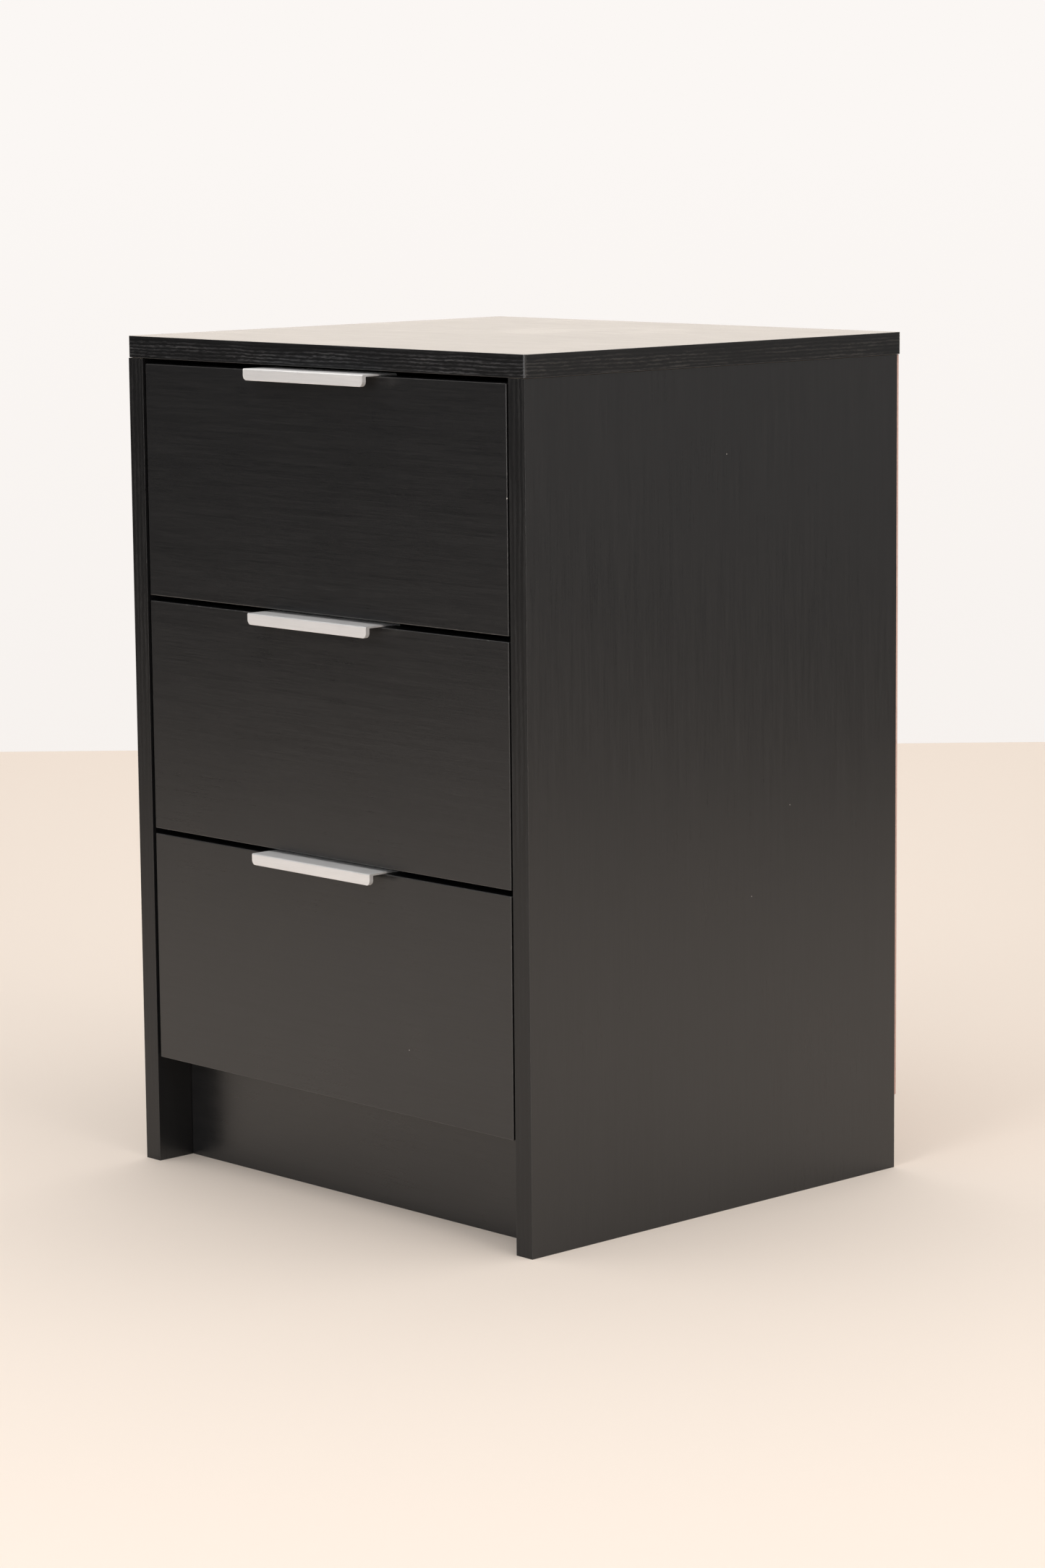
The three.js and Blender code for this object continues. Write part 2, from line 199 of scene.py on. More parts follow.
def buildSpecks():
    # sparse pale specks: dust, and pinholes in a printed face
    tree, take, give = startGroup(
        "specks", {"Position": None, "Spacing": 0.02, "Share": 0.3, "Size": 0.0004}, ["Mask"],
    )
    inverse = maths(tree, "DIVIDE", 1.0, take["Spacing"])
    spots = addNode(tree, "ShaderNodeTexVoronoi", {"Vector": take["Position"], "Scale": inverse})
    reach = maths(tree, "MULTIPLY", spots.outputs["Distance"], take["Spacing"])
    inside = maths(tree, "LESS_THAN", reach, take["Size"])
    draw = addNode(tree, "ShaderNodeSeparateColor", {0: spots.outputs["Color"]}).outputs[0]
    plug(tree, maths(tree, "MULTIPLY", inside, maths(tree, "LESS_THAN", draw, take["Share"])), give["Mask"])
    return tree


def buildRubbedPatches():
    # where hands and use have polished or scuffed a surface
    inputs = {"Position": None, "Patch Size": 0.05, "Cover": 0.4}
    tree, take, give = startGroup("rubbedPatches", inputs, ["Mask"])
    inverse = maths(tree, "DIVIDE", 1.0, take["Patch Size"])
    blotch = noise(tree, take["Position"], scale=inverse, detail=5, roughness=0.7)
    edge = maths(tree, "SUBTRACT", 0.72, maths(tree, "MULTIPLY", take["Cover"], 0.4))
    ramp = addNode(tree, "ShaderNodeMapRange", {"Value": blotch, "From Min": edge})
    plug(tree, maths(tree, "ADD", edge, 0.12), ramp.inputs["From Max"])
    plug(tree, ramp.outputs["Result"], give["Mask"])
    return tree


def buildPressedFibres():
    # the felted surface of hardboard
    tree, take, give = startGroup("pressedFibres", {"Position": None, "Size": 0.004}, ["Fibres", "Clouds"])
    inverse = maths(tree, "DIVIDE", 1.0, take["Size"])
    felt = noise(tree, take["Position"], scale=inverse, detail=6, roughness=0.75, distortion=1.2)
    plug(tree, remap(tree, felt, 0.3, 0.7), give["Fibres"])
    clouds = noise(tree, take["Position"], scale=maths(tree, "MULTIPLY", inverse, 0.07), detail=3)
    plug(tree, remap(tree, clouds, 0.3, 0.7), give["Clouds"])
    return tree


printedGrain = buildPrintedGrain()
bandGrain = buildBandGrain()
specks = buildSpecks()
rubbedPatches = buildRubbedPatches()
pressedFibres = buildPressedFibres()
print("shared effects ready")


# Finishes

def melamine(name, along, look, shift=0.0):
    material, tree, shader = startMaterial(name, IOR=look["gloss"])
    where = grainSpace(tree, along, shift)
    grain = place(tree, printedGrain, {"Position": where, "Pore Share": look["pores"]})
    dust = place(tree, specks, {"Position": where, "Share": look["dust"], "Spacing": 0.03, "Size": 0.00035})
    tone = mixColour(tree, grain["Fibres"], look["dark"], look["light"])
    tone = mixColour(tree, maths(tree, "MULTIPLY", grain["Figure"], look["figure"]), tone, look["light"])
    tone = mixColour(tree, maths(tree, "MULTIPLY", grain["Pores"], 0.5), tone, look["pore"])
    tone = mixColour(tree, dust["Mask"], tone, look["speck"])
    rubbed = place(tree, rubbedPatches, {"Position": where, "Patch Size": 0.12, "Cover": 0.5})
    satin = remap(tree, grain["Fibres"], 0, 1, look["satin"] - 0.03, look["satin"] + 0.03)
    satin = maths(tree, "SUBTRACT", satin, maths(tree, "MULTIPLY", rubbed["Mask"], 0.02))
    satin = maths(tree, "ADD", satin, maths(tree, "MULTIPLY", grain["Pores"], 0.1))
    height = maths(tree, "SUBTRACT", maths(tree, "MULTIPLY", grain["Fibres"], 0.6), grain["Pores"])
    surface(tree, shader, tone, satin, height, look["relief"])
    return material


def edgeBand(name, along, look):
    material, tree, shader = startMaterial(name, IOR=look["gloss"])
    where = grainSpace(tree, along)
    grain = place(tree, bandGrain, {
        "Position": where, "Line Pitch": look["pitch"], "Bend": look["bend"], "Break": look["broken"],
        "Fade From": look["fade"][0], "Fade To": look["fade"][1],
    })
    streaks = maths(tree, "MULTIPLY", grain["Lines"], remap(tree, grain["Fibres"], 0, 1, 0.55, 1.0))
    tone = mixColour(tree, streaks, look["dark"], look["light"])
    satin = remap(tree, grain["Lines"], 0, 1, look["satin"], look["satin"] + 0.1)
    surface(tree, shader, tone, satin, streaks, look["relief"])
    return material


def arrisWearAndHighlight(name, along, look):
    # the narrow rounded edge where a face meets its band; its tones, far lighter than the face, are partly
    # real wear and partly a painted highlight along the edge
    material, tree, shader = startMaterial(name, IOR=look["gloss"])
    where = grainSpace(tree, along)
    scuff = place(tree, rubbedPatches, {"Position": where, "Patch Size": 0.006, "Cover": look["worn"]})
    chips = place(tree, specks, {"Position": where, "Share": 0.3, "Spacing": 0.025, "Size": 0.0006})
    tone = mixColour(tree, scuff["Mask"], look["dark"], look["light"])
    plug(tree, mixColour(tree, chips["Mask"], tone, look["chip"]), shader["Base Color"])
    plug(tree, remap(tree, scuff["Mask"], 0, 1, look["satin"], look["satin"] + 0.12), shader["Roughness"])
    return material


def chipboard(name, look):
    material, tree, shader = startMaterial(name, IOR=look["gloss"])
    where = grainSpace(tree, "x")
    chips = addNode(tree, "ShaderNodeTexVoronoi", {"Vector": stretch(tree, where, look["chip"])})
    value = addNode(tree, "ShaderNodeSeparateColor", {0: chips.outputs["Color"]}).outputs[1]
    crumbs = noise(tree, where, scale=look["crumbs"], detail=3)
    tone = mixColour(tree, value, look["dark"], look["light"])
    tone = mixColour(tree, remap(tree, crumbs, 0.35, 0.65, 0, 0.4), tone, look["gap"])
    satin = remap(tree, crumbs, 0.3, 0.7, look["satin"], look["satin"] + 0.15)
    surface(tree, shader, tone, satin, maths(tree, "ADD", value, crumbs), look["relief"])
    return material


def hardboard(name, look):
    material, tree, shader = startMaterial(name, IOR=look["gloss"])
    where = grainSpace(tree, "x")
    fibres = place(tree, pressedFibres, {"Position": where, "Size": 0.003})
    rubbed = place(tree, rubbedPatches, {"Position": where, "Patch Size": 0.09, "Cover": 0.3})
    tone = mixColour(tree, fibres["Fibres"], look["dark"], look["light"])
    tone = mixColour(tree, maths(tree, "MULTIPLY", fibres["Clouds"], 0.35), tone, look["light"])
    tone = mixColour(tree, maths(tree, "MULTIPLY", rubbed["Mask"], 0.2), tone, look["dark"])
    satin = remap(tree, fibres["Fibres"], 0, 1, look["satin"] - 0.08, look["satin"] + 0.05)
    surface(tree, shader, tone, satin, fibres["Fibres"], look["relief"])
    return material


def aluminium(name, look):
    material, tree, shader = startMaterial(name, Metallic=look["metal"], IOR=1.5)
    where = grainSpace(tree, "x")
    strokes = noise(tree, stretch(tree, where, (0.02, 0.00015, 0.00015)), detail=3, roughness=0.6)
    rubbed = place(tree, rubbedPatches, {"Position": where, "Patch Size": 0.02, "Cover": 0.45})
    tone = mixColour(tree, remap(tree, strokes, 0.3, 0.7), look["dark"], look["light"])
    satin = remap(tree, strokes, 0.3, 0.7, look["satin"], look["satin"] + 0.06)
    satin = maths(tree, "SUBTRACT", satin, maths(tree, "MULTIPLY", rubbed["Mask"], 0.05))
    surface(tree, shader, tone, satin, strokes, look["relief"])
    return material


def zinc(name, look):
    material, tree, shader = startMaterial(name, Metallic=1.0)
    where = grainSpace(tree, "x")
    spangle = noise(tree, where, scale=look["spangle"], detail=3)
    rubbed = place(tree, rubbedPatches, {"Position": where, "Patch Size": 0.004, "Cover": 0.5})
    tone = mixColour(tree, spangle, look["dark"], look["light"])
    satin = remap(tree, rubbed["Mask"], 0, 1, look["satin"], look["polished"])
    surface(tree, shader, tone, satin, spangle, look["relief"])
    return material


def powderCoat(name, look):
    material, tree, shader = startMaterial(name, IOR=look["gloss"])
    where = grainSpace(tree, "y")
    peel = noise(tree, where, scale=look["peel"], detail=2)
    rubbed = place(tree, rubbedPatches, {"Position": where, "Patch Size": 0.012, "Cover": 0.4})
    tone = mixColour(tree, peel, look["dark"], look["light"])
    tone = mixColour(tree, maths(tree, "MULTIPLY", rubbed["Mask"], 0.25), tone, look["grime"])
    satin = remap(tree, rubbed["Mask"], 0, 1, look["satin"], look["polished"])
    surface(tree, shader, tone, satin, peel, look["relief"])
    return material


def turnedNylon(name, look):
    material, tree, shader = startMaterial(name, IOR=look["gloss"])
    where = grainSpace(tree, "x")
    rings = noise(tree, stretch(tree, where, look["rings"]), detail=2)
    greased = place(tree, rubbedPatches, {"Position": where, "Patch Size": 0.006, "Cover": 0.35})
    tone = mixColour(tree, rings, look["dark"], look["light"])
    tone = mixColour(tree, maths(tree, "MULTIPLY", greased["Mask"], 0.3), tone, look["grease"])
    satin = remap(tree, greased["Mask"], 0, 1, look["satin"], look["polished"])
    surface(tree, shader, tone, satin, rings, look["relief"])
    return material


faceLook = {
    "dark": (0.0060, 0.0061, 0.0066), "light": (0.0118, 0.0117, 0.0122), "pore": (0.004, 0.004, 0.004),
    "speck": (0.40, 0.38, 0.35), "figure": 0.25, "pores": 0.15, "dust": 0.25, "satin": 0.31, "gloss": 1.6,
    "relief": 0.00002,
}
hiddenLook = {**faceLook, "dust": 0.1, "figure": 0.5}
foilLook = {
    **faceLook, "dark": (0.013, 0.012, 0.0115), "light": (0.024, 0.022, 0.021), "satin": 0.45, "gloss": 1.5,
}
topFoot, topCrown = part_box("top_panel")[0].z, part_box("top_panel")[1].z
topBandLook = {
    "fade": (topFoot + (topCrown - topFoot) * 0.6, topFoot + (topCrown - topFoot) * 0.85),
    "dark": (0.0020, 0.0022, 0.0027), "light": (0.052, 0.052, 0.054), "pitch": 0.0024, "bend": 1.2,
    "broken": 0.75, "satin": 0.36, "gloss": 1.5, "relief": 0.00008,
}
# the same band on the top's ends, with darker streaks than on its front: painted shade
topSideBandLook = {**topBandLook, "light": (0.034, 0.032, 0.030)}
uprightBandLook = {
    **topBandLook, "fade": (10.0, 11.0),  # far outside the cabinet, so these bands never fade
    "dark": (0.0036, 0.0037, 0.0041), "light": (0.0105, 0.0106, 0.011), "pitch": 0.0042, "bend": 0.8,
    "broken": 0.3, "relief": 0.00003,
}
levelBandLook = {**uprightBandLook, "pitch": 0.0033}
# arris tones: lighter than the faces and bands, partly real wear and chips, partly a painted highlight on
# the rounded edges
arrisLook = {
    "dark": (0.03, 0.0295, 0.029), "light": (0.075, 0.072, 0.069), "chip": (0.60, 0.57, 0.52), "worn": 0.4,
    "satin": 0.3, "gloss": 1.6,
}
chipboardLook = {
    "dark": (0.28, 0.18, 0.10), "light": (0.50, 0.36, 0.22), "gap": (0.15, 0.09, 0.05),
    "chip": (0.005, 0.0014, 0.0025), "crumbs": 1800, "satin": 0.8, "gloss": 1.4, "relief": 0.0003,
}
rawBoardLook = {
    "dark": (0.19, 0.10, 0.055), "light": (0.34, 0.205, 0.125), "satin": 0.75, "gloss": 1.45,
    "relief": 0.0002,
}
# the pale pinkish edge tone: partly the cut core's own lighter colour, partly painted glare from bright
# light on the edge
boardEdgeLook = {**rawBoardLook, "dark": (0.52, 0.33, 0.28), "light": (0.74, 0.52, 0.45), "satin": 0.85}
printedBoardLook = {
    **rawBoardLook, "dark": (0.010, 0.009, 0.0085), "light": (0.019, 0.017, 0.016), "satin": 0.5,
    "relief": 0.00005,
}
satinMetalLook = {
    "dark": (0.84, 0.83, 0.82), "light": (0.92, 0.91, 0.90), "satin": 0.5, "metal": 0.6, "relief": 0.00001,
}
cutMetalLook = {
    "dark": (0.93, 0.93, 0.93), "light": (0.97, 0.97, 0.97), "satin": 0.33, "metal": 1.0,
    "relief": 0.000001,
}
zincLook = {
    "dark": (0.50, 0.51, 0.52), "light": (0.70, 0.70, 0.69), "spangle": 420, "satin": 0.42,
    "polished": 0.28, "relief": 0.00002,
}
creamLook = {
    "dark": (0.70, 0.68, 0.62), "light": (0.76, 0.74, 0.69), "grime": (0.45, 0.43, 0.40), "peel": 900,
    "satin": 0.42, "polished": 0.3, "gloss": 1.5, "relief": 0.00006,
}
nylonLook = {
    "dark": (0.80, 0.79, 0.74), "light": (0.86, 0.85, 0.81), "grease": (0.42, 0.40, 0.36),
    "rings": (0.0004, 0.02, 0.02), "satin": 0.42, "polished": 0.25, "gloss": 1.53, "relief": 0.00002,
}
recipes = {
    "topFace": (melamine, "x", faceLook),
    "sideFace": (melamine, "z", faceLook),
    "frontFace": (melamine, "x", faceLook, 0.37),
    "insideFace": (melamine, "z", hiddenLook, 0.81),
    "shelfFace": (melamine, "x", hiddenLook, 0.62),
    "topBand": (edgeBand, "x", topBandLook),
    "topSideBand": (edgeBand, "y", topSideBandLook),
    "uprightBand": (edgeBand, "z", uprightBandLook),
    "levelBand": (edgeBand, "x", levelBandLook),
    "levelArris": (arrisWearAndHighlight, "x", arrisLook),
    "uprightArris": (arrisWearAndHighlight, "z", arrisLook),
    "chipboardCore": (chipboard, chipboardLook),
    "rawHardboard": (hardboard, rawBoardLook),
    "hardboardEdge": (hardboard, boardEdgeLook),
    "printedHardboard": (hardboard, printedBoardLook),
    "drawerFoil": (melamine, "y", foilLook),
    "backFoil": (melamine, "x", foilLook, 0.2),
    "satinAluminium": (aluminium, satinMetalLook),
    "cutAluminium": (aluminium, cutMetalLook),
    "zincPlate": (zinc, zincLook),
    "creamPowderCoat": (powderCoat, creamLook),
    "nylon": (turnedNylon, nylonLook),
}
finishes = {name: build(name, *values) for name, (build, *values) in recipes.items()}
print("finishes ready:", len(finishes))


# Solids

# how far a face has to turn towards both axes to count as part of a rounded corner
cornerShare = 0.55
# the outline's two axes, then the one it runs along
planes = {"x": (1, 2, 0), "y": (0, 2, 1), "z": (0, 1, 2)}
# how far the cutter of a slot runs on, down and up its axis
slotBelow, slotAbove = 0.00005, 0.0005
# how far a groove, a bolt hole or a pull's corner cut runs on past the face that it opens
cutterClear = 0.001


def solidFrom(vertices, faces):
    mesh = bpy.data.meshes.new("solid")
    mesh.from_pydata([tuple(vertex) for vertex in vertices], [], faces)
    work = bmesh.new()
    work.from_mesh(mesh)
    bmesh.ops.recalc_face_normals(work, faces=work.faces)
    work.to_mesh(mesh)
    work.free()
    piece = bpy.data.objects.new("solid", mesh)
    scene.collection.objects.link(piece)
    return piece


def pointOn(axis, u, v, along):
    first, second, third = planes[axis]
    point = [0.0, 0.0, 0.0]
    point[first], point[second], point[third] = u, v, along
    return point


def prism(outline, axis, start, end):
    vertices = [pointOn(axis, u, v, along) for along in (start, end) for u, v in outline]
    count = len(outline)
    walls = [(i, (i + 1) % count, count + (i + 1) % count, count + i) for i in range(count)]
    caps = [tuple(range(count)), tuple(range(2 * count - 1, count - 1, -1))]
    return solidFrom(vertices, walls + caps)


def block(low, high):
    outline = [(low[0], low[1]), (high[0], low[1]), (high[0], high[1]), (low[0], high[1])]
    return prism(outline, "z", low[2], high[2])


def turned(profile, axis, centre, steps=40):
    # (radius, place along the axis) pairs: a profile that stays off the axis closes into a ring
    rings, vertices, faces = [], [], []
    for radius, along in profile:
        count = steps if radius > 0 else 1
        rings.append(range(len(vertices), len(vertices) + count))
        for step in range(count):
            angle = 2 * math.pi * step / steps
            u, v = centre[0] + radius * math.cos(angle), centre[1] + radius * math.sin(angle)
            vertices.append(pointOn(axis, u, v, along))
    pairs = list(zip(rings, rings[1:]))
    if profile[0][0] > 0:
        pairs.append((rings[-1], rings[0]))
    for a, b in pairs:
        for step in range(steps):
            after = (step + 1) % steps
            corners = [a[step % len(a)], a[after % len(a)], b[after % len(b)], b[step % len(b)]]
            corners = list(dict.fromkeys(corners))
            if len(corners) > 2:
                faces.append(tuple(corners))
    return solidFrom(vertices, faces)


def applied(piece):
    # the piece with its modifiers made part of its mesh
    graph = bpy.context.evaluated_depsgraph_get()
    piece.data = bpy.data.meshes.new_from_object(piece.evaluated_get(graph), depsgraph=graph)
    piece.modifiers.clear()
    return piece


def combined(base, tools, operation):
    for tool in tools:
        step = base.modifiers.new("combine", "BOOLEAN")
        step.operation = operation
        step.solver = "EXACT"
        step.object = tool
        applied(base)
        bpy.data.objects.remove(tool)
    return base


def joined(pieces):
    # closed shells that stay apart in one mesh
    work = bmesh.new()
    for piece in pieces:
        work.from_mesh(piece.data)
    work.to_mesh(pieces[0].data)
    work.free()
    for piece in pieces[1:]:
        bpy.data.objects.remove(piece)
    return pieces[0]


def arc(centreX, centreY, radius, start, turn, steps):
    angles = [start + turn * step / steps for step in range(steps + 1)]
    return [(centreX + radius * math.cos(angle), centreY + radius * math.sin(angle)) for angle in angles]


def circle(centre, radius, steps):
    return arc(*centre, radius, 0, 2 * math.pi, steps)[:-1]


def roundTopped(low, high, foot, crown, radius):
    # a board's section with both its upper corners rounded
    outline = [(low, foot), (high, foot)] + arc(high - radius, crown - radius, radius, 0, math.pi / 2, 5)
    return outline + arc(low + radius, crown - radius, radius, math.pi / 2, math.pi / 2, 5)


def bent(before, corner, after, radius, steps):
    # the arc that takes a line round a corner
    into, out = (corner - before).normalized(), (after - corner).normalized()
    turn = into.angle(out)
    start = corner - into * radius * math.tan(turn / 2)
    side = (out - into * into.dot(out)).normalized()
    angles = [turn * step / steps for step in range(steps + 1)]
    return [start + (side * (1 - math.cos(angle)) + into * math.sin(angle)) * radius for angle in angles]


def roundedOutline(corners, steps=5):
    # a closed outline from (u, v, radius) corners
    points = [Vector(corner[:2]) for corner in corners]
    outline = []
    for index, corner in enumerate(corners):
        after = points[(index + 1) % len(points)]
        rounding = bent(points[index - 1], points[index], after, corner[2], steps)
        outline += [tuple(point) for point in rounding]
    return outline


def foldedStrip(middle, thickness, bend, steps=5):
    # the closed section of a bent sheet, from its middle line's corners
    points = [Vector(point) for point in middle]
    path = [points[0]]
    for before, corner, after in zip(points, points[1:], points[2:]):
        path += bent(before, corner, after, bend + thickness / 2, steps)
    path.append(points[-1])
    left, right = [], []
    for index, point in enumerate(path):
        along = (path[min(index + 1, len(path) - 1)] - path[max(index - 1, 0)]).normalized()
        offset = Vector((-along.y, along.x)) * thickness / 2
        left.append(tuple(point + offset))
        right.append(tuple(point - offset))
    return left + right[::-1]


def paint(piece, chosen, arris, rubbed):
    # one finish for each way a face looks and "all" for the rest; the arris finish also covers the rounded
    # corners that lie between the two given axes, which puts its painted highlight on those corners too
    names = list(dict.fromkeys(list(chosen.values()) + ([arris] if arris else [])))
    piece.data.materials.clear()
    for name in names:
        piece.data.materials.append(finishes[name])
    for face in piece.data.polygons:
        axis = max(range(3), key=lambda i: abs(face.normal[i]))
        way = ("+" if face.normal[axis] > 0 else "-") + "xyz"[axis]
        onCorner = rubbed and min(abs(face.normal["xyz".index(axis)]) for axis in rubbed) > cornerShare
        face.material_index = names.index(arris if onCorner else chosen.get(way, chosen["all"]))
    return names.index(arris) if arris else -1


def finishPiece(piece, name, body, nodes, chosen, arris, edge, edgeSteps=2, rubbed=None):
    piece.name = name
    piece.data.name = name
    arrisIndex = paint(piece, chosen, arris, rubbed)
    if edge:
        rounding = piece.modifiers.new("rounding", "BEVEL")
        rounding.width = edge
        rounding.segments = edgeSteps
        rounding.limit_method = "ANGLE"
        rounding.angle_limit = math.radians(35)
        rounding.material = arrisIndex
        applied(piece)
    for face in piece.data.polygons:
        face.use_smooth = True
    piece.data.set_sharp_from_angle(angle=math.radians(50))
    even = piece.modifiers.new("even", "WEIGHTED_NORMAL")
    even.keep_sharp = True
    applied(piece)
    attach(piece, body)
    if nodes:
        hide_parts(*nodes)
    return piece


def crossSlot(axis, centre, face, depth, reach, width):
    # the two crossed cuts of a cross-head screw or a cam, sunk from its face
    u, v = centre
    low, high = sorted((face, face - depth))
    slots = []
    for halfU, halfV in ((reach, width / 2), (width / 2, reach)):
        outline = [
            (u - halfU, v - halfV), (u + halfU, v - halfV), (u + halfU, v + halfV), (u - halfU, v + halfV),
        ]
        slots.append(prism(outline, axis, low - slotBelow, high + slotAbove))
    return slots


# Carcass

camLook = {
    "clearance": 0.0003, "mouth": 0.002, "edge": 0.0005, "boltRadius": 0.003, "slotReach": 0.0052,
    "slotWidth": 0.0017, "slotDepth": 0.0028,
}
carcassLook = {"corner": 0.0025, "edge": 0.0006, "edgeSteps": 3, "innerEdge": 0.0004}


def camSizes(hand, end):
    low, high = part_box(f"cam_fitting_{hand}_{end}")
    radius = (high.y - low.y) / 2
    inner, outer = (high.x, low.x) if hands[hand] < 0 else (low.x, high.x)
    panelLow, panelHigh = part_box(f"side_panel_{hand}")
    return {
        "y": (low.y + high.y) / 2, "z": low.z + radius, "radius": radius, "inner": inner, "outer": outer,
        "top": high.z, "boltX": (panelLow.x + panelHigh.x) / 2,
    }


def camPocket(cam, side):
    # the round pocket in a side panel, grown by its clearance and open to the inside
    grow = camLook["clearance"]
    start, finish = sorted((cam["inner"] - side * camLook["mouth"], cam["outer"] + side * grow))
    return prism(circle((cam["y"], cam["z"]), cam["radius"] + grow, 48), "x", start, finish)


def boltHole(cam, start):
    grow = camLook["clearance"]
    outline = circle((cam["boltX"], cam["y"]), camLook["boltRadius"] + grow, 24)
    return prism(outline, "z", start, cam["top"] + grow)


def makeTop():
    low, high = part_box("top_panel")
    radius = carcassLook["corner"]
    outline = []
    for index, (x, y) in enumerate(((high.x, high.y), (low.x, high.y), (low.x, low.y), (high.x, low.y))):
        inX = x - math.copysign(radius, x)
        inY = y - math.copysign(radius, y)
        outline += arc(inX, inY, radius, index * math.pi / 2, math.pi / 2, 6)
    panel = prism(outline, "z", low.z, high.z)
    holes = [boltHole(camSizes(hand, end), low.z - cutterClear) for hand in hands for end in ends]
    combined(panel, holes, "DIFFERENCE")
    chosen = {
        "+z": "topFace", "-z": "shelfFace", "-x": "topSideBand", "+x": "topSideBand", "all": "topBand",
    }
    name, nodes = "topPanel", ["top_panel"]
    edge, steps = carcassLook["edge"], carcassLook["edgeSteps"]
    # the top's rounded corners take the arris finish, and with it a painted highlight
    finishPiece(panel, name, "cabinet", nodes, chosen, "levelArris", edge, steps, "xy")


def makeSides():
    for hand, side in hands.items():
        panel = block(*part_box(f"side_panel_{hand}"))
        for end in ends:
            cam = camSizes(hand, end)
            combined(panel, [camPocket(cam, side), boltHole(cam, cam["z"])], "DIFFERENCE")
        outer, inner = ("+x", "-x") if side > 0 else ("-x", "+x")
        chosen = {outer: "sideFace", inner: "insideFace", "-y": "uprightBand", "all": "chipboardCore"}
        name, nodes = f"sidePanel{hand.title()}", [f"side_panel_{hand}"]
        edge, steps = carcassLook["edge"], carcassLook["edgeSteps"]
        finishPiece(panel, name, "cabinet", nodes, chosen, "uprightArris", edge, steps)


def makeCams():
    for hand, side in hands.items():
        for end in ends:
            cam = camSizes(hand, end)
            rim, edge = cam["radius"], camLook["edge"]
            profile = [
                (0, cam["inner"]), (rim - edge, cam["inner"]), (rim, cam["inner"] + side * edge),
                (rim, cam["outer"] - side * edge), (rim - edge, cam["outer"]), (0, cam["outer"]),
            ]
            centre = (cam["y"], cam["z"])
            disc = turned(profile, "x", centre, 48)
            outline = circle((cam["boltX"], cam["y"]), camLook["boltRadius"], 24)
            combined(disc, [prism(outline, "z", cam["z"], cam["top"])], "UNION")
            depth = -side * camLook["slotDepth"]
            reach, width = camLook["slotReach"], camLook["slotWidth"]
            combined(disc, crossSlot("x", centre, cam["inner"], depth, reach, width), "DIFFERENCE")
            name, nodes = f"camFitting{hand.title()}{end.title()}", [f"cam_fitting_{hand}_{end}"]
            finishPiece(disc, name, "cabinet", nodes, {"all": "zincPlate"}, None, 0)


def makePlainBoards():
    edge = carcassLook["innerEdge"]
    plinth = block(*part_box("plinth_board"))
    chosen = {"-y": "frontFace", "+y": "frontFace", "all": "chipboardCore"}
    name, nodes = "plinthBoard", ["plinth_board"]
    finishPiece(plinth, name, "cabinet", nodes, chosen, "levelArris", edge)
    bottom = block(*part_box("bottom_panel"))
    chosen = {"+z": "shelfFace", "-z": "shelfFace", "-y": "levelBand", "all": "chipboardCore"}
    name, nodes = "bottomPanel", ["bottom_panel"]
    finishPiece(bottom, name, "cabinet", nodes, chosen, "levelArris", edge)


backLook = {
    "edge": 0.0003, "pinRadius": 0.0016, "pinProud": 0.00025, "pinSunk": 0.0003, "pinInset": 0.0072,
    "pinSpacing": 0.098, "pinFromTop": 0.012, "pinsAcross": 3, "pinRim": 0.4, "pinCrown": 0.75,
}


def makeBack():
    low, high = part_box("back_panel")
    chosen = {"+y": "rawHardboard", "-y": "printedHardboard", "all": "hardboardEdge"}
    back, nodes = block(low, high), ["back_panel"]
    finishPiece(back, "backPanel", "cabinet", nodes, chosen, None, backLook["edge"])
    # panel pins into the rear edges of the side panels and the bottom panel
    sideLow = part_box("side_panel_left")[0].x
    pinX = -sideLow - backLook["pinInset"]
    bottomLow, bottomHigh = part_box("bottom_panel")
    lowest = (bottomLow.z + bottomHigh.z) / 2
    rows = round((high.z - lowest) / backLook["pinSpacing"])
    step = (high.z - lowest - backLook["pinFromTop"]) / rows
    places = [(side * pinX, lowest + row * step) for side in hands.values() for row in range(rows + 1)]
    columns = backLook["pinsAcross"]
    places += [(pinX * 2 * column / (columns + 1) - pinX, lowest) for column in range(1, columns + 1)]
    radius, proud = backLook["pinRadius"], backLook["pinProud"]
    root, crown = high.y - backLook["pinSunk"], high.y + proud
    profile = [
        (0, root), (radius, root), (radius, high.y + proud * backLook["pinRim"]),
        (radius * backLook["pinCrown"], crown), (0, crown),
    ]
    pins = joined([turned(profile, "y", spot, 20) for spot in places])
    finishPiece(pins, "backPins", "cabinet", [], {"all": "zincPlate"}, None, 0)


makeTop()
makeSides()
makeCams()
makePlainBoards()
makeBack()
print("carcass ready")


# Drawers

boxLook = {"topRound": 0.0022, "groove": 0.006, "seat": 0.0003, "edge": 0.0003, "baseEdge": 0.0002}


def makeFront(level):
    low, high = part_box(f"drawer_front_{level}")
    board = block(low, high)
    baseLow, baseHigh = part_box(f"drawer_base_{level}")
    grow = boxLook["seat"]
    groove = block(
        (baseLow.x - grow, high.y - boxLook["groove"], baseLow.z - grow),
        (baseHigh.x + grow, high.y + cutterClear, baseHigh.z + grow),
    )
    combined(board, [groove], "DIFFERENCE")
    chosen = {
        "-y": "frontFace", "+y": "frontFace", "-x": "uprightBand", "+x": "uprightBand", "all": "levelBand",
    }
    name, nodes = f"drawerFront{level.title()}", [f"drawer_front_{level}"]
    edge, steps = carcassLook["edge"], carcassLook["edgeSteps"]
    finishPiece(board, name, f"drawer_{level}", nodes, chosen, "levelArris", edge, steps)


